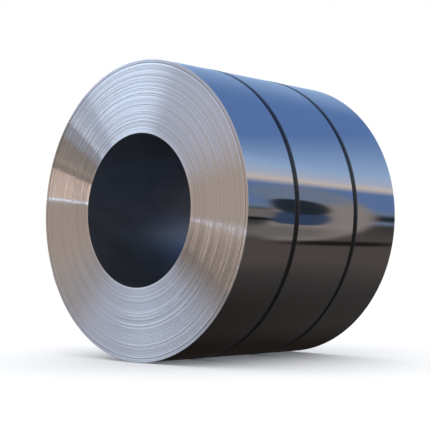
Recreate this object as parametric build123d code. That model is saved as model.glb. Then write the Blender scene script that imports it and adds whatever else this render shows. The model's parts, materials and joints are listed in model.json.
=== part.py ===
"""Strapped coil of polished steel strip, lying on its side.

One length of strip is wound on a mandrel into a coil. Two steel straps hold the last turn down,
and a crimped seal closes each strap. The coil's axis runs along Y, +Z is up, and the origin is
on the floor, below the middle of the coil. All sizes are in millimetres and degrees.
"""

import os
from math import acos, cos, degrees, radians, sin

from build123d import *

# Coil
bore_diameter = 610.0  # the mandrel's diameter, 24 inch
outer_diameter = 1190.0
strip_width = 900.0
strip_thickness = 1.5
lap_angle = 205.0  # where the strip's outer end lies, counted from +X towards +Z

# Turns on the coil's ends: bundles of turns that wandered along the axis as the strip was wound
bundle_count = 13
bundle_wander = 2.4  # the most that one bundle stands behind another
bundle_unevenness = 0.18  # how far a bundle's edge leaves its even spacing, as a share of that spacing
scatter_step = 0.618034  # golden section, which never repeats a bundle's place

# Straps
strap_width = 25.4
strap_thickness = 0.9
strap_inset = 270.0  # from the coil's end to the strap's middle
strap_overlap = 170.0  # length over which the strap's two ends lie on each other

# Seals
seal_angle = 128.0  # where a seal's middle lies, counted as the lap is
seal_length = 52.0
seal_wall = 1.2
seal_clearance = 0.2  # between the seal and the strap that it holds
crimp_radius = 3.5
crimp_spacing = 24.0

bore_radius = bore_diameter / 2
outer_radius = outer_diameter / 2
axis_height = outer_radius + strap_thickness
axis_centre = Vector(0, axis_height)
front_end = -strip_width / 2
rear_end = strip_width / 2

# The last turn is a two-centred spiral. Its outer half turn, from the lap on through the bottom,
# is centred on the axis. The half turn under it is half a strip smaller and centred half a strip
# away from the lap, so the two run into each other on the far side and leave one step at the lap.
lap_direction = Vector(cos(radians(lap_angle)), sin(radians(lap_angle)))
inner_centre = axis_centre - lap_direction * (strip_thickness / 2)
inner_radius = outer_radius - strip_thickness / 2


def fraction(value):
    return value - int(value)


def bundle_edges():
    """Radii of the bundles' edges, from the bore to the outside."""
    spacing = (outer_radius - bore_radius) / bundle_count
    radii = [bore_radius]
    for i in range(1, bundle_count):
        offset = 2 * fraction(i * scatter_step) - 1
        radii.append(bore_radius + spacing * (i + bundle_unevenness * offset))
    return radii + [outer_radius]


def bundle_shifts():
    """How far each bundle stands towards the rear. The first and last turns stand at the front."""
    inner = [bundle_wander * fraction(i * scatter_step) for i in range(1, bundle_count - 1)]
    return [0.0] + inner + [0.0]


def wound_outline(bridged):
    """Face inside the last turn, seen along Y. A strap bridges the step at the lap in a straight run."""
    far_angle = lap_angle + 180
    bridge_angle = degrees(acos(inner_radius / (outer_radius + strip_thickness / 2))) if bridged else 0
    outer_half = CenterArc(axis_centre, outer_radius, lap_angle, 180)
    inner_half = CenterArc(inner_centre, inner_radius, far_angle, 180 - bridge_angle)
    step = Line(inner_half @ 1, outer_half @ 0)
    return make_face([outer_half, inner_half, step])


def along_axis(face, start, length):
    """Solid of a face seen along Y, from one place on the axis on towards the rear."""
    upright = Plane(origin=(0, start, 0), x_dir=(1, 0, 0), z_dir=(0, -1, 0))
    return extrude(upright * face, amount=-length)


def turned(points):
    """Ring with a section of (radius, place on the axis) points, turned about the coil's axis."""
    section = Plane.YZ * make_face(Polyline([(y, axis_height + radius) for radius, y in points], close=True))
    return revolve(section, Axis((0, 0, axis_height), (0, 1, 0)))


def stepped_line(radii, places):
    """Corner points of a line that runs outwards over the bundles, one place on the axis for each."""
    points = []
    for inner, outer, place in zip(radii, radii[1:], places):
        points += [(inner, place), (outer, place)]
    return points


def coil():
    """The wound strip: its bore, its lap and the stepped bundles of turns on both ends."""
    radii = bundle_edges()
    shifts = bundle_shifts()
    past_end = 2 * bundle_wander
    longest = max(shifts)
    blank = along_axis(wound_outline(bridged=False) - Pos(axis_centre) * Circle(bore_radius),
                       front_end, strip_width + longest)
    front_steps = stepped_line(radii[1:-1], [front_end + shift for shift in shifts[1:-1]])
    front_waste = turned(front_steps + [(radii[-2], front_end - past_end), (radii[1], front_end - past_end)])
    inside = bore_radius / 2
    outside = outer_radius * 2 - bore_radius
    rear_steps = stepped_line([inside] + radii[1:-1] + [outside], [rear_end + shift for shift in shifts])
    past_rear = rear_end + longest + past_end
    rear_waste = turned(rear_steps + [(outside, past_rear), (inside, past_rear)])
    return blank - front_waste - rear_waste


def seal_sector(low, high, length):
    """Face of a stretch of ring under the seal's middle, between two heights over the coil."""
    half = degrees(length / 2 / inner_radius)
    arcs = []
    for height in (low, high):
        arcs.append(CenterArc(inner_centre, inner_radius + height, seal_angle - half, 2 * half))
    sides = [Line(arcs[0] @ end, arcs[1] @ end) for end in (0, 1)]
    return make_face(arcs + sides)


def strap(middle):
    """Steel band round the coil, with its two ends lying on each other under the seal."""
    inside = wound_outline(bridged=True)
    band = offset(inside, amount=strap_thickness) - inside
    band += seal_sector(strap_thickness, 2 * strap_thickness, strap_overlap)
    return along_axis(band, middle - strap_width / 2, strap_width)


def seal(middle):
    """Channel of thin steel folded over the strap's two ends, bitten along both edges by crimps."""
    roof = 2 * strap_thickness + seal_clearance
    channel_width = strap_width + 2 * seal_clearance
    width = channel_width + 2 * seal_wall
    past_end = 2 * seal_length
    body = along_axis(seal_sector(0, roof + seal_wall, seal_length), middle - width / 2, width)
    channel = along_axis(seal_sector(-seal_wall, roof, past_end), middle - channel_width / 2, channel_width)
    body -= channel
    for along in (-crimp_spacing / 2, crimp_spacing / 2):
        angle = radians(seal_angle) + along / inner_radius
        outwards = Vector(cos(angle), 0, sin(angle))
        for edge in (middle - width / 2, middle + width / 2):
            foot = Vector(inner_centre.X, edge, inner_centre.Y) + outwards * inner_radius
            bite = Solid.make_cylinder(crimp_radius, 4 * roof, Plane(foot - outwards * roof, z_dir=outwards))
            body -= bite
    return body


def main():
    front_middle = front_end + strap_inset
    rear_middle = rear_end - strap_inset
    nodes = {
        "coil": coil(),
        "front_strap": strap(front_middle),
        "rear_strap": strap(rear_middle),
        "front_seal": seal(front_middle),
        "rear_seal": seal(rear_middle),
    }
    os.makedirs("parts", exist_ok=True)
    for name, shape in nodes.items():
        export_step(shape, f"parts/{name}.step")


main()
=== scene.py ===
"""Looks of a strapped coil of bright steel strip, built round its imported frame. Sizes are in metres."""
import json
from collections import namedtuple
from math import acos, cos, hypot, pi, radians, sin

import bmesh
import bpy
import numpy as np
from mathutils import Matrix, Vector


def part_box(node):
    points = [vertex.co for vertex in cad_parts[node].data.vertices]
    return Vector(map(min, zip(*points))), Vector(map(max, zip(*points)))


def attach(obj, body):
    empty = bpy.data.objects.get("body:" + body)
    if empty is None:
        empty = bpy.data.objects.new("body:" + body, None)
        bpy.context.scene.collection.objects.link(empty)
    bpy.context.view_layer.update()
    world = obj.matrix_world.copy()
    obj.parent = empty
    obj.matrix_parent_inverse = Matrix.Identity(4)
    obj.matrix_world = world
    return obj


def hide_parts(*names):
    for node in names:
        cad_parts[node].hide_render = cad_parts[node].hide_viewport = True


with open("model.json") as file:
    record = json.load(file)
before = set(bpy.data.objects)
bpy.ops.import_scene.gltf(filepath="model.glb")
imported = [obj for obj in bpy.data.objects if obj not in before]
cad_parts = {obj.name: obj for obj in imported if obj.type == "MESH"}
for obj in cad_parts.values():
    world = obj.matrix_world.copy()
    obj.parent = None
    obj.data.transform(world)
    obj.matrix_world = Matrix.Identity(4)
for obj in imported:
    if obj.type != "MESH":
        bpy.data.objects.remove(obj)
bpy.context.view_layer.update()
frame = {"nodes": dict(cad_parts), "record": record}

# Sizes that the frame gives
bore_mount = next(mount for mount in frame["record"]["mounts"] if mount["name"] == "bore")
axis_height = bore_mount["pos_m"][2]
bore_radius = bore_mount["dims"]["r_mm"] / 1000

# Sizes that the wound strip and its straps have in the frame too
strip_thickness = 0.0015
lap_angle = radians(205)
strap_thickness = 0.0009
strap_overlap = 0.170
seal_angle = radians(128)

# Fine relief of the coil: groups of turns on its ends, with narrow gaps between them
flat_enough = 0.99  # an end face's normal has at least this much along the axis
coil_segments = 240
wall_rows = 12
groups_in_bundle = 4
group_widths = (0.6, 1.4)  # range of the groups' widths, as shares of an even width
group_depth = 0.00015  # the most that a group stands back
wander_share = 0.4  # how much of the bundles' wander along the axis shows
gap_depth = 0.0003
gap_half_width = 0.0005
faint_gaps = (0.05, 0.35)  # range of the gaps' darkness inside a bundle: their depth and their painted shade
dark_gaps = (0.4, 0.7)  # and between two bundles
bore_ring = 0.0085  # width of the plain ring beside the bore, which gets a painted highlight
loose_turns = 0.085  # width of the zone beside the bore where the turns lie looser
loose_gap = 2.4  # how much darker the gaps are in that zone: deeper, with more painted shade
loose_gap_half_width = 0.0012
rim_ring = 0.0145  # width of the plain ring beside the rim, which gets a painted highlight
rim_gap = 3.0  # darkness of the gap inside that ring: its depth and its painted shade
rim_gap_half_width = 0.0022
rim_chamfer = 0.0006
coil_sharp_angle = radians(25)

# Fine relief of the straps
strap_segments = 400
strap_edge_radius = 0.0003
corner_steps = 3
climb_angle = radians(2.5)  # stretch on which the free end climbs on to the strap's first stretch
strap_sharp_angle = radians(50)

# Relief and tone of single turns on the coil's ends, given by their material
ridge_slope = 0.36  # of a turn's rounded edge, inwards and outwards
outward_lean = 0.06
ring_lean = 0.16  # how far rings of turns lean inwards or outwards
ring_tone = 0.32  # how much paler or darker rings of turns are
uneven_angle = radians(15)  # how far the unevenest turns lie from straight above the bore
uneven_range = (0.3, 1.5)  # how much of that lean and tone the turns beside and above the bore have; where the tone grows, that is painted reflection contrast
uneven_heights = (0.7, 0.95)  # heights over the bore, as shares, between which that changes
gap_tone = 0.4  # how much darker a gap's steel is painted, as painted shade; on a bright edge, how much paler, as painted highlight
gap_shade_share = 0.2  # how much of the painted shade colour a gap shows

# Base colours
wrap_dull = (0.60, 0.62, 0.64, 1)
wrap_bright = (0.66, 0.67, 0.68, 1)
edge_dull = (0.50, 0.50, 0.51, 1)
edge_bright = (0.78, 0.78, 0.78, 1)
# colour of the painted shade in the gaps between turns
gap_shade_colour = (0.06, 0.06, 0.07, 1)
# colours of the bore wall, painted dark as painted shade inside the bore
bore_shade_dark = (0.11, 0.125, 0.155, 1)
bore_shade_pale = (0.17, 0.19, 0.23, 1)
strap_blued = (0.050, 0.051, 0.053, 1)
strap_rubbed = (0.072, 0.072, 0.074, 1)
seal_blued = (0.070, 0.071, 0.074, 1)
seal_scuffed = (0.150, 0.150, 0.152, 1)
floor_dull = (0.84, 0.84, 0.84, 1)
floor_bright = (0.86, 0.86, 0.86, 1)
white = (1, 1, 1, 1)
noise_range = (0.3, 0.7)  # nearly all of a noise's values lie in here
rub_range = (0.4, 0.75)  # values of the noise between which a strap goes from blued to rubbed
scuff_range = (0.5, 0.7)  # and a seal from blued to scuffed

# Camera, from the photograph: the coil's axis turned from the line of sight, the look upwards,
# the focal length in picture widths, and the front end's centre in the camera's own axes
camera_turn = radians(44.35)
camera_tilt = radians(3.37)
focal_widths = 1042.6 / 430
front_centre_seen = Vector((-0.5178, 0.0320, -6.8904))  # in radii of the coil
sensor_width = 36.0
sight_right = Vector((cos(camera_turn), sin(camera_turn), 0))
sight_ahead = Vector((-sin(camera_turn), cos(camera_turn), 0))

# Studio
floor_half = 30.0
floor_roughness = 0.9
floor_light = (1.4, 1.4, 1.4, 1)
steel_share = 0.63  # how much of its surroundings' light the steel gives back

# Shades that the steel mirrors, as a screen shows them. Shades over 255 are brighter than white.
deep_blue = (82, 109, 156)
dusk_blue = (84, 106, 146)
dark_blue = (46, 60, 84)
mid_blue = (136, 159, 190)
pale_blue = (174, 192, 222)
bright_blue = (205, 219, 243)
glowing_blue = (238, 262, 292)
cool_white = (203, 223, 254)
white_glow = (352, 378, 422)
warm_glow = (326, 284, 262)
pale_tan = (186, 172, 163)
warm_grey = (154, 141, 133)
cool_grey = (158, 164, 180)
tan_grey = (126, 117, 113)
plain_grey = (126, 129, 134)
blue_grey = (114, 119, 128)
slate = (98, 110, 129)
dark_grey = (92, 94, 96)
dull_brown = (98, 93, 90)
dark_brown = (71, 65, 62)
deep_brown = (53, 50, 49)
dark_line = (30, 36, 44)
near_black = (25, 22, 20)

# Those shades by height over the horizon in degrees, on each side of the line of sight
right_shades = [
    (-56, near_black),
    (-36, deep_brown),
    (-25, dark_brown),
    (-12, dark_brown),
    (-4, deep_brown),
    (-2, slate),
    (-0.8, dark_line),
    (0.8, dark_line),
    (2.6, slate),
    (4.5, dusk_blue),
    (13, dusk_blue),
    (16, pale_tan),
    (19, cool_grey),
    (25, mid_blue),
    (42, deep_blue),
]
ahead_shades = [
    (-7, near_black),
    (-1, tan_grey),
    (7, pale_tan),
    (11, mid_blue),
    (50, deep_blue),
]
left_shades = [
    (-28, blue_grey),
    (-21, pale_blue),
    (-17, pale_blue),
    (-11, plain_grey),
    (-7, plain_grey),
    (-3, warm_grey),
    (11, warm_grey),
    (14, pale_blue),
    (19, bright_blue),
    (24, glowing_blue),
    (60, glowing_blue),
    (90, deep_blue),
]
back_shades = [
    (-40, blue_grey),
    (-30, deep_brown),
    (-7, deep_brown),
    (-5, warm_grey),
    (13.5, warm_grey),
    (19, pale_blue),
    (40, pale_blue),
    (90, deep_blue),
]
calm_shades = [
    (-10, plain_grey),
    (-2, plain_grey),
    (2, pale_tan),
    (13, pale_tan),
    (20, pale_blue),
    (45, mid_blue),
    (90, deep_blue),
]

# On the right those heights grow with the turn from the line of sight: by a share for each degree
right_turns = (76.0, 87.0)
right_even_turn = 80.0
right_growth = 0.03

# Edges between those sides, in degrees: turns from the line of sight, and angles from the direction
# in which the coil's axis leads to the rear
ahead_to_right = (10.0, 40.0)
back_to_left = (-95.0, -81.0)
wall_turns_begin = (-9.0, -3.0)
wall_rear_begin = (29.0, 33.0)
wall_rear_end = (50.0, 54.0)
end_rear_begin = (62.0, 68.0)
end_turns_begin = (-155.0, -135.0)
end_turns_end = (-24.0, -14.0)

# Cards in front of those shades, in degrees. Rise is the height that a card gains with each degree of turn,
# squareness is 2 for an oval and more for squarer outlines, and softness is a share of the half sizes.
Card = namedtuple("Card", "turn height half_width half_height rise squareness softness shade")
cards = [
    Card(82.9, -0.3, 2.8, 13.4, 0.0, 2.5, 0.12, tan_grey),
    Card(83.5, 9.6, 2.8, 3.8, 0.0, 3, 0.5, slate),
    Card(84.1, -9.6, 2.7, 3.0, 0.0, 3, 0.5, dull_brown),
    Card(84.0, -2.2, 1.6, 3.5, 0.0, 3, 0.1, dark_blue),
    Card(84.0, 3.6, 1.6, 3.7, 0.25, 2.5, 0.08, dark_line),
    Card(86.9, -0.8, 1.3, 2.2, 0.0, 4, 0.25, dull_brown),
    Card(86.9, -3.7, 1.4, 0.9, 0.0, 4, 0.3, near_black),
    Card(79.6, -13.6, 2.8, 1.3, -0.43, 3, 0.5, near_black),
    Card(-96.5, -21.0, 18.2, 8.0, 0.0, 3, 0.45, cool_white),
    Card(-55.0, 13.1, 18.0, 3.5, 0.095, 6, 0.05, dark_grey),
    Card(-55.0, 15.3, 18.0, 0.9, 0.12, 6, 0.5, mid_blue),
    Card(-54.0, 17.6, 12.0, 0.7, 0.12, 6, 0.4, glowing_blue),
    Card(-58.0, 20.4, 13.0, 1.6, 0.2, 3, 0.5, pale_blue),
    Card(-55.0, 10.3, 18.0, 0.5, 0.06, 6, 0.3, dark_brown),
    Card(-55.0, 11.05, 18.0, 0.45, 0.06, 6, 0.3, warm_grey),
    Card(-42.0, 8.2, 13.0, 2.05, 0.04, 6, 0.06, warm_glow),
    Card(-50.0, 5.69, 15.0, 0.14, 0.03, 6, 0.3, white_glow),
]


def off_axis(point):
    """Distance of a point from the coil's axis."""
    return hypot(point[0], point[2] - axis_height)


outer_radius = max(off_axis(vertex.co) for vertex in frame["nodes"]["coil"].data.vertices)
inner_radius = outer_radius - strip_thickness / 2


# Shapes

def polar(angle, radius, along):
    """Point at an angle round the coil's axis, counted from +X towards +Z."""
    return radius * cos(angle), along, axis_height + radius * sin(angle)


def last_turn_radius(past_lap):
    """Radius of the coil's outside at an angle past the lap. The second half turn is centred off the axis."""
    if past_lap <= pi:
        return outer_radius
    shift = strip_thickness / 2
    toward = cos(past_lap)
    return -shift * toward + (inner_radius**2 - shift**2 * (1 - toward**2)) ** 0.5


def strap_path_radius(angle):
    """Radius of a strap's inside, which leaves the coil in a straight run up to the lap."""
    past_lap = (angle - lap_angle) % (2 * pi)
    bridge = acos(inner_radius / (outer_radius + strip_thickness / 2))
    if past_lap < 2 * pi - bridge:
        return last_turn_radius(past_lap)
    return inner_radius / cos(past_lap - (2 * pi - bridge)) - strip_thickness / 2 * cos(bridge)


def end_bundles(side):
    """Edges of the bundles of turns on one end of the coil, and each bundle's place along the axis."""
    mesh = frame["nodes"]["coil"].data
    faces = [face for face in mesh.polygons if face.normal.y * side > flat_enough]
    radii = sorted(off_axis(mesh.vertices[i].co) for face in faces for i in face.vertices)
    edges = [bore_radius]
    for radius in radii:
        if radius > edges[-1] + strip_thickness and radius < outer_radius - 2 * strip_thickness:
            edges.append(radius)
    edges.append(outer_radius)
    places = []
    for inner, outer in zip(edges, edges[1:]):
        places.append(next(face.center.y for face in faces if inner < off_axis(face.center) < outer))
    return edges, places


def end_profile(side, random):
    """Points (radius, place, gap) from the bore to the rim. Gap is how much painted shade it gets, or -1 for
    a painted highlight on a bright edge.
    """
    edges, places = end_bundles(side)
    middles = [(inner + outer) / 2 for inner, outer in zip(edges, edges[1:])]
    bounds = [bore_radius]
    for inner, outer in zip(edges, edges[1:]):
        widths = random.uniform(*group_widths, groups_in_bundle)
        bounds += list(inner + (outer - inner) * np.cumsum(widths) / widths.sum())
    bore_ring_edge = bore_radius + bore_ring
    rim_bundle_edge = edges[-2] + strip_thickness
    rim_ring_edge = outer_radius - rim_ring
    bounds[1] = bore_ring_edge
    bounds[-4] = rim_bundle_edge
    bounds[-3] = rim_ring_edge
    sunk = group_depth * random.random(len(bounds) - 1)
    sunk[0] = sunk[-1] = 0.0

    def place(radius, group):
        wandered = np.interp(radius, middles, places) - places[-1]
        return places[-1] + wander_share * wandered - side * sunk[group]

    # a gap of -1 is a painted highlight, here on the plain ring beside the bore
    points = [(bore_radius, place(bore_radius, 0), -1.0)]
    for group, radius in enumerate(bounds[1:-1]):
        between_bundles = (group + 1) % groups_in_bundle == 0
        darkness = random.uniform(*dark_gaps) if between_bundles else random.uniform(*faint_gaps)
        half_width = gap_half_width
        if radius < bore_radius + loose_turns:
            darkness *= loose_gap
            half_width = loose_gap_half_width
        if radius == rim_ring_edge:
            darkness = rim_gap
            half_width = rim_gap_half_width
        below = place(radius - half_width, group)
        above = place(radius + half_width, group + 1)
        bottom = side * (min(side * below, side * above) - gap_depth * darkness)
        # -1 at the plain rings' edges paints their highlight; every other gap is painted shade
        points.append((radius - half_width, below, -float(radius in (bore_ring_edge, rim_ring_edge))))
        points.append((radius, bottom, darkness))
        points.append((radius + half_width, above, -float(radius == rim_bundle_edge)))
    return points


def new_piece(name, mesh_builder, materials, node, sharp_angle):
    """Object made by a bmesh, which rides on the coil's body and stands for a node."""
    mesh = bpy.data.meshes.new(name)
    bmesh.ops.recalc_face_normals(mesh_builder, faces=mesh_builder.faces)
    mesh_builder.to_mesh(mesh)
    mesh_builder.free()
    for material in materials:
        mesh.materials.append(material)
    mesh.shade_smooth()
    mesh.set_sharp_from_angle(angle=sharp_angle)
    piece = bpy.data.objects.new(name, mesh)
    bpy.context.scene.collection.objects.link(piece)
    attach(piece, "root")
    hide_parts(node)
    return piece


# Row of vertices round the coil. Where it follows the outside, its radius is counted inwards from there.
Row = namedtuple("Row", "radius place gap follows material")


def coil_rows(wrap, edge, bore):
    """Rows of the coil's section: the front end, the outside, the rear end, and back to the bore."""
    random = np.random.default_rng(11)
    front = end_profile(-1, random)
    rear = end_profile(1, random)
    _, front_place, _ = front[-1]
    _, rear_place, _ = rear[-1]
    rows = [Row(*point, False, edge) for point in front]
    rows.append(Row(rim_chamfer, front_place, 0.0, True, wrap))
    for i in range(wall_rows + 1):
        place = front_place + rim_chamfer + (rear_place - front_place - 2 * rim_chamfer) * i / wall_rows
        rows.append(Row(0.0, place, 0.0, True, wrap))
    rows.append(Row(rim_chamfer, rear_place, 0.0, True, edge))
    rows += [Row(*point, False, edge) for point in reversed(rear)]
    rows[-1] = rows[-1]._replace(material=bore)
    return rows


def wound_strip(materials):
    """The coil: its ends with their groups of turns, its bore, and its outside with the lap."""
    wrap, edge, bore = 0, 1, 2
    rows = coil_rows(wrap, edge, bore)
    builder = bmesh.new()
    gap_layer = builder.verts.layers.float.new("gap")
    columns = []
    for j in range(coil_segments + 1):
        past_lap = 2 * pi * j / coil_segments
        outside = last_turn_radius(past_lap)
        column = []
        for k, row in enumerate(rows):
            if j == coil_segments and not row.follows:
                column.append(columns[0][k])
                continue
            radius = outside - row.radius if row.follows else row.radius
            vertex = builder.verts.new(polar(lap_angle + past_lap, radius, row.place))
            vertex[gap_layer] = row.gap
            column.append(vertex)
        columns.append(column)
    first, last = columns[0], columns[-1]
    for j, (here, there) in enumerate(zip(columns, columns[1:])):
        for k, row in enumerate(rows):
            after = (k + 1) % len(rows)
            corners = [here[k], here[after], there[after], there[k]]
            # where the outer turn ends, the row beside it also meets the turn below
            if j == 0 and row.follows != rows[after].follows:
                corners.insert(1, last[k] if row.follows else last[after])
            builder.faces.new(corners).material_index = row.material
    for k, (row, next_row) in enumerate(zip(rows, rows[1:])):
        if row.follows and next_row.follows:
            builder.faces.new([first[k], last[k], last[k + 1], first[k + 1]]).material_index = edge
    return new_piece("wound_strip", builder, materials, "coil", coil_sharp_angle)


def strap_section(half_width):
    """Points (place, height) round a strap's section, with rounded corners."""
    edge = strap_edge_radius
    points = []
    for across, base, start in (
        (1, strap_thickness - edge, 0),
        (-1, strap_thickness - edge, pi / 2),
        (-1, edge, pi),
        (1, edge, 3 * pi / 2),
    ):
        for step in range(corner_steps + 1):
            angle = start + pi / 2 * step / corner_steps
            points.append((across * (half_width - edge) + edge * cos(angle), base + edge * sin(angle)))
    return points


def strap(name, material):
    """Band round the coil, with its free end lying on its first stretch."""
    low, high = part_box(name)
    middle = (high.y + low.y) / 2
    section = strap_section((high.y - low.y) / 2)
    overlap = strap_overlap / outer_radius
    begin = seal_angle - overlap / 2
    builder = bmesh.new()
    rings = []
    for i in range(strap_segments + 1):
        travel = (2 * pi + overlap) * i / strap_segments
        climb = min(max((travel - 2 * pi + climb_angle) / climb_angle, 0), 1)
        lift = strap_thickness * climb * climb * (3 - 2 * climb)
        radius = strap_path_radius(begin + travel) + lift
        points = [polar(begin + travel, radius + height, middle + place) for place, height in section]
        rings.append([builder.verts.new(point) for point in points])
    for here, there in zip(rings, rings[1:]):
        for k in range(len(section)):
            after = (k + 1) % len(section)
            builder.faces.new([here[k], here[after], there[after], there[k]])
    builder.faces.new(rings[0])
    builder.faces.new(rings[-1])
    return new_piece(name + "_band", builder, [material], name, strap_sharp_angle)


# Shader nodes

def link(tree, target, value):
    """Joins an output to an input, or sets the input to a plain value."""
    if isinstance(value, bpy.types.NodeSocket):
        tree.links.new(value, target)
    else:
        target.default_value = value


def maths(tree, operation, *values):
    node = tree.nodes.new("ShaderNodeMath")
    node.operation = operation
    for target, value in zip(node.inputs, values):
        link(tree, target, value)
    return node.outputs[0]


def product(tree, first, *others):
    for other in others:
        first = maths(tree, "MULTIPLY", first, other)
    return first


def vectors(tree, operation, *values):
    node = tree.nodes.new("ShaderNodeVectorMath")
    node.operation = operation
    for target, value in zip(node.inputs, values):
        link(tree, target, value)
    return node.outputs["Value" if operation in ("LENGTH", "DOT_PRODUCT") else "Vector"]


def scaled(tree, vector, factor):
    node = tree.nodes.new("ShaderNodeVectorMath")
    node.operation = "SCALE"
    link(tree, node.inputs[0], vector)
    link(tree, node.inputs["Scale"], factor)
    return node.outputs[0]


def split_up(tree, vector):
    """The x, y and z of a vector."""
    node = tree.nodes.new("ShaderNodeSeparateXYZ")
    link(tree, node.inputs[0], vector)
    return node.outputs[0], node.outputs[1], node.outputs[2]


def combined(tree, x, y, z):
    node = tree.nodes.new("ShaderNodeCombineXYZ")
    for target, value in zip(node.inputs, (x, y, z)):
        link(tree, target, value)
    return node.outputs[0]


def spread(tree, value, low, high, to_low, to_high, smooth=False):
    """Value moved from one range to another, held at its ends."""
    node = tree.nodes.new("ShaderNodeMapRange")
    if smooth:
        node.interpolation_type = "SMOOTHSTEP"
    for target, given in zip(node.inputs, (value, low, high, to_low, to_high)):
        link(tree, target, given)
    return node.outputs[0]


def rising(tree, value, edge):
    """Share that grows smoothly from 0 to 1 across an edge."""
    return spread(tree, value, *edge, 0.0, 1.0, smooth=True)


def falling(tree, value, edge):
    """Share that drops smoothly from 1 to 0 across an edge."""
    return spread(tree, value, *edge, 1.0, 0.0, smooth=True)


def noise(tree, vector, scale, detail=3.0):
    node = tree.nodes.new("ShaderNodeTexNoise")
    link(tree, node.inputs["Vector"], vector)
    node.inputs["Scale"].default_value = scale
    node.inputs["Detail"].default_value = detail
    return node.outputs[0]


def mixed(tree, share, first, second):
    """Colour between two colours."""
    node = tree.nodes.new("ShaderNodeMix")
    node.data_type = "RGBA"
    link(tree, node.inputs[0], share)
    link(tree, node.inputs[6], first)
    link(tree, node.inputs[7], second)
    return node.outputs[2]


def ramp(tree, value, stops):
    """Colours along a value from 0 to 1."""
    node = tree.nodes.new("ShaderNodeValToRGB")
    elements = node.color_ramp.elements
    while len(elements) < len(stops):
        elements.new(0.5)
    for element, (place, colour) in zip(elements, stops):
        element.position = place
        element.color = colour
    link(tree, node.inputs[0], value)
    return node.outputs[0]


# Materials

def new_material(name, metallic):
    material = bpy.data.materials.new(name)
    material.use_nodes = True
    tree = material.node_tree
    shader = tree.nodes["Principled BSDF"]
    shader.inputs["Metallic"].default_value = metallic
    return material, tree, shader


def object_place(tree):
    return tree.nodes.new("ShaderNodeTexCoord").outputs["Object"]


def round_the_axis(tree):
    """Direction outwards from the coil's axis, distance from the axis, angle round it and place along it."""
    from_axis = vectors(tree, "SUBTRACT", object_place(tree), (0, 0, axis_height))
    outwards = vectors(tree, "MULTIPLY", from_axis, (1, 0, 1))
    distance = vectors(tree, "LENGTH", outwards)
    x, along, z = split_up(tree, from_axis)
    return vectors(tree, "NORMALIZE", outwards), distance, maths(tree, "ARCTAN2", z, x), along


def wall_noise(tree, along_scale, angle_scale, detail):
    """Noise on a wall round the axis, scaled along the axis and round it."""
    _, _, angle, along = round_the_axis(tree)
    place = combined(tree, maths(tree, "MULTIPLY", along, along_scale / angle_scale), angle, 0.0)
    return noise(tree, place, angle_scale, detail)


def colour_by(tree, shader, share, first, second):
    link(tree, shader.inputs["Base Color"], mixed(tree, share, first, second))


def roughen_by(tree, shader, value, smoothest, roughest):
    link(tree, shader.inputs["Roughness"], spread(tree, value, *noise_range, smoothest, roughest))


def bright_wrap():
    """Outer turn: rolled to a mirror, with faint streaks along the strip."""
    material, tree, shader = new_material("bright_wrap", metallic=1.0)
    streaks = wall_noise(tree, along_scale=180.0, angle_scale=3.0, detail=4.0)
    haze = wall_noise(tree, along_scale=6.0, angle_scale=2.0, detail=3.0)
    colour_by(tree, shader, streaks, wrap_dull, wrap_bright)
    mean = maths(tree, "MULTIPLY", maths(tree, "ADD", streaks, haze), 0.5)
    roughen_by(tree, shader, mean, smoothest=0.035, roughest=0.055)
    return material


def turn_edges():
    """Ends of the coil: each turn's edge is a fine ridge round the axis, and the ridges lean by rings."""
    material, tree, shader = new_material("turn_edges", metallic=1.0)
    outwards, distance, angle, _ = round_the_axis(tree)
    rings = noise(tree, combined(tree, distance, 0.0, 0.0), scale=220.0, detail=1.0)
    shades = noise(tree, combined(tree, distance, 0.0, 0.0), scale=220.0, detail=3.0)
    tones = noise(tree, combined(tree, distance, 0.5, 0.0), scale=130.0, detail=2.0)
    # the turns lie least evenly above and below the bore, and there the rings' random tone is made stronger
    # as painted reflection contrast
    height_share = maths(tree, "ABSOLUTE", maths(tree, "SINE", maths(tree, "SUBTRACT", angle, uneven_angle)))
    unevenness = spread(tree, height_share, *uneven_heights, *uneven_range)
    lean = product(tree, unevenness, spread(tree, rings, *noise_range, -ring_lean, ring_lean))
    across_turn = maths(tree, "FRACT", maths(tree, "DIVIDE", distance, strip_thickness))
    ridge = spread(tree, across_turn, 0.0, 1.0, outward_lean - ridge_slope, outward_lean + ridge_slope)
    normal = tree.nodes.new("ShaderNodeNewGeometry").outputs["Normal"]
    leaning = vectors(tree, "ADD", normal, scaled(tree, outwards, maths(tree, "ADD", lean, ridge)))
    link(tree, shader.inputs["Normal"], vectors(tree, "NORMALIZE", leaning))
    link(tree, shader.inputs["Tangent"], outwards)
    shader.inputs["Anisotropic"].default_value = 1.0
    attribute = tree.nodes.new("ShaderNodeAttribute")
    attribute.attribute_name = "gap"
    gap = attribute.outputs["Fac"]
    # the rings' random tone, stronger above and below the bore as painted reflection contrast
    ring_tone_with_painted_contrast = product(tree, unevenness, spread(tree, tones, *noise_range, -ring_tone, ring_tone))
    paleness = maths(tree, "ADD", ring_tone_with_painted_contrast, spread(tree, shades, *noise_range, *noise_range))
    # gaps get painted shade, as darker steel and the gap shade colour; a gap of -1 gets a painted highlight
    paleness = maths(tree, "SUBTRACT", paleness, maths(tree, "MULTIPLY", gap, gap_tone))
    steel = mixed(tree, paleness, edge_dull, edge_bright)
    colour_by(tree, shader, maths(tree, "MULTIPLY", gap, gap_shade_share), steel, gap_shade_colour)
    roughen_by(tree, shader, shades, smoothest=0.10, roughest=0.12)
    return material


def bore_wall():
    """Inside of the bore: the first turn, dull, with its colour painted dark as painted shade."""
    material, tree, shader = new_material("bore_wall", metallic=0.85)
    bore_mottle = wall_noise(tree, along_scale=10.0, angle_scale=2.5, detail=5.0)
    colour_by(tree, shader, bore_mottle, bore_shade_dark, bore_shade_pale)
    roughen_by(tree, shader, bore_mottle, smoothest=0.28, roughest=0.38)
    return material


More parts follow.
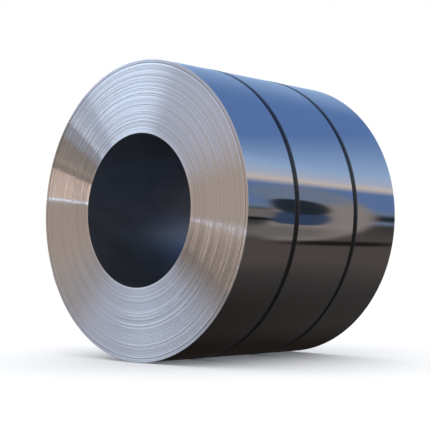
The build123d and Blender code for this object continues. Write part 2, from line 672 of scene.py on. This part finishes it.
def blued_band():
    """Strap: blued steel, rubbed a little in streaks along it."""
    material, tree, shader = new_material("blued_band", metallic=1.0)
    rubs = wall_noise(tree, along_scale=600.0, angle_scale=4.5, detail=3.0)
    colour_by(tree, shader, spread(tree, rubs, *rub_range, 0.0, 1.0), strap_blued, strap_rubbed)
    roughen_by(tree, shader, rubs, smoothest=0.2, roughest=0.28)
    return material


def crimped_steel():
    """Seal: blued steel with scuffs where it was squeezed."""
    material, tree, shader = new_material("crimped_steel", metallic=1.0)
    scuffs = noise(tree, object_place(tree), scale=120.0, detail=4.0)
    colour_by(tree, shader, spread(tree, scuffs, *scuff_range, 0.0, 1.0), seal_blued, seal_scuffed)
    roughen_by(tree, shader, scuffs, smoothest=0.28, roughest=0.45)
    return material


# Studio

def pale_floor():
    material, tree, shader = new_material("pale_floor", metallic=0.0)
    colour_by(tree, shader, noise(tree, object_place(tree), scale=6.0), floor_dull, floor_bright)
    shader.inputs["Roughness"].default_value = floor_roughness
    corners = [(floor_half * x, floor_half * y, 0) for x, y in ((-1, -1), (1, -1), (1, 1), (-1, 1))]
    mesh = bpy.data.meshes.new("floor")
    mesh.from_pydata(corners, [], [(0, 1, 2, 3)])
    mesh.materials.append(material)
    floor = bpy.data.objects.new("floor", mesh)
    bpy.context.scene.collection.objects.link(floor)
    floor.visible_glossy = False


def mirrored_light(shade):
    """Light that shows as a shade, named from 0 to 255, where the steel mirrors it."""
    parts = [((part / 255 + 0.055) / 1.055) ** 2.4 / steel_share for part in shade]
    return (*parts, 1.0)


def shades_by_height(tree, place, shades):
    """Ramp of shades, along a place that runs from straight down to straight up."""
    return ramp(tree, place, [((height + 90) / 180, mirrored_light(shade)) for height, shade in shades])


def card_share(tree, turn, height, card):
    """How much of a card covers a direction: 1 inside its edge and 0 outside."""
    across = maths(tree, "SUBTRACT", turn, card.turn)
    level = maths(tree, "ADD", maths(tree, "MULTIPLY", across, card.rise), card.height)
    upward = maths(tree, "SUBTRACT", height, level)
    reach = 0.0
    for offset, half in ((across, card.half_width), (upward, card.half_height)):
        share = maths(tree, "ABSOLUTE", maths(tree, "DIVIDE", offset, half))
        reach = maths(tree, "ADD", maths(tree, "POWER", share, card.squareness), reach)
    reach = maths(tree, "POWER", reach, 1 / card.squareness)
    return falling(tree, reach, (1 - card.softness, 1 + card.softness))


def mirrored_surroundings(tree):
    """What the steel mirrors: soft shades round the horizon, and the cards in front of them."""
    ray = tree.nodes.new("ShaderNodeTexCoord").outputs["Generated"]
    _, to_rear, upwards = split_up(tree, ray)
    height = maths(tree, "DEGREES", maths(tree, "ARCSINE", upwards))
    from_rear = maths(tree, "DEGREES", maths(tree, "ARCCOSINE", to_rear))
    # turn from the photograph's line of sight, to the right
    turn = maths(tree, "DEGREES", maths(tree, "ARCTAN2", vectors(tree, "DOT_PRODUCT", ray, sight_right),
                                        vectors(tree, "DOT_PRODUCT", ray, sight_ahead)))
    growth = [1 + right_growth * (end - right_even_turn) for end in right_turns]
    right_height = maths(tree, "DIVIDE", height, spread(tree, turn, *right_turns, *growth))
    right_place = spread(tree, right_height, -90.0, 90.0, 0.0, 1.0)
    place = spread(tree, height, -90.0, 90.0, 0.0, 1.0)
    right = shades_by_height(tree, right_place, right_shades)
    ahead = shades_by_height(tree, place, ahead_shades)
    left = shades_by_height(tree, place, left_shades)
    back = shades_by_height(tree, place, back_shades)
    calm = shades_by_height(tree, place, calm_shades)
    # the photograph shows what its side wall and its end face mirror; all else is calm
    beside = mixed(tree, rising(tree, turn, ahead_to_right), ahead, right)
    before = mixed(tree, falling(tree, turn, back_to_left), left, back)
    on_wall = product(tree, rising(tree, turn, wall_turns_begin), rising(tree, from_rear, wall_rear_begin),
                      falling(tree, from_rear, wall_rear_end))
    on_end = product(tree, rising(tree, from_rear, end_rear_begin), rising(tree, turn, end_turns_begin),
                     falling(tree, turn, end_turns_end))
    mirrored = mixed(tree, on_end, mixed(tree, on_wall, calm, beside), before)
    for card in cards:
        mirrored = mixed(tree, card_share(tree, turn, height, card), mirrored, mirrored_light(card.shade))
    return mirrored


def studio_light():
    """World that is plain white to the camera and to the floor, and gives the steel shades to mirror."""
    world = bpy.data.worlds.new("studio")
    bpy.context.scene.world = world
    world.use_nodes = True
    world.cycles.sampling_method = "NONE"
    tree = world.node_tree
    paths = tree.nodes.new("ShaderNodeLightPath")
    shown = mixed(tree, paths.outputs["Is Glossy Ray"], floor_light, mirrored_surroundings(tree))
    shown = mixed(tree, paths.outputs["Is Camera Ray"], shown, white)
    link(tree, tree.nodes["Background"].inputs["Color"], shown)


def photo_camera():
    """Camera at the photograph's place, level along its width and tilted up a little."""
    up = Vector((0, 0, 1))
    forward = sight_ahead * cos(camera_tilt) + up * sin(camera_tilt)
    upright = up * cos(camera_tilt) - sight_ahead * sin(camera_tilt)
    turn = Matrix((sight_right, upright, -forward)).transposed()
    front_centre = Vector((0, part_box("coil")[0].y, axis_height))
    place = front_centre - turn @ front_centre_seen * outer_radius
    data = bpy.data.cameras.new("camera")
    data.sensor_width = sensor_width
    data.lens = sensor_width * focal_widths
    camera = bpy.data.objects.new("camera", data)
    camera.matrix_world = Matrix.Translation(place) @ turn.to_4x4()
    bpy.context.scene.collection.objects.link(camera)
    bpy.context.scene.camera = camera


def main():
    bpy.context.scene.view_settings.view_transform = "Standard"
    wound_strip([bright_wrap(), turn_edges(), bore_wall()])
    band = blued_band()
    for name in ("front_strap", "rear_strap"):
        strap(name, band)
    seal_steel = crimped_steel()
    for name in ("front_seal", "rear_seal"):
        seal = frame["nodes"][name]
        seal.data.materials.clear()
        seal.data.materials.append(seal_steel)
    pale_floor()
    studio_light()
    photo_camera()


main()
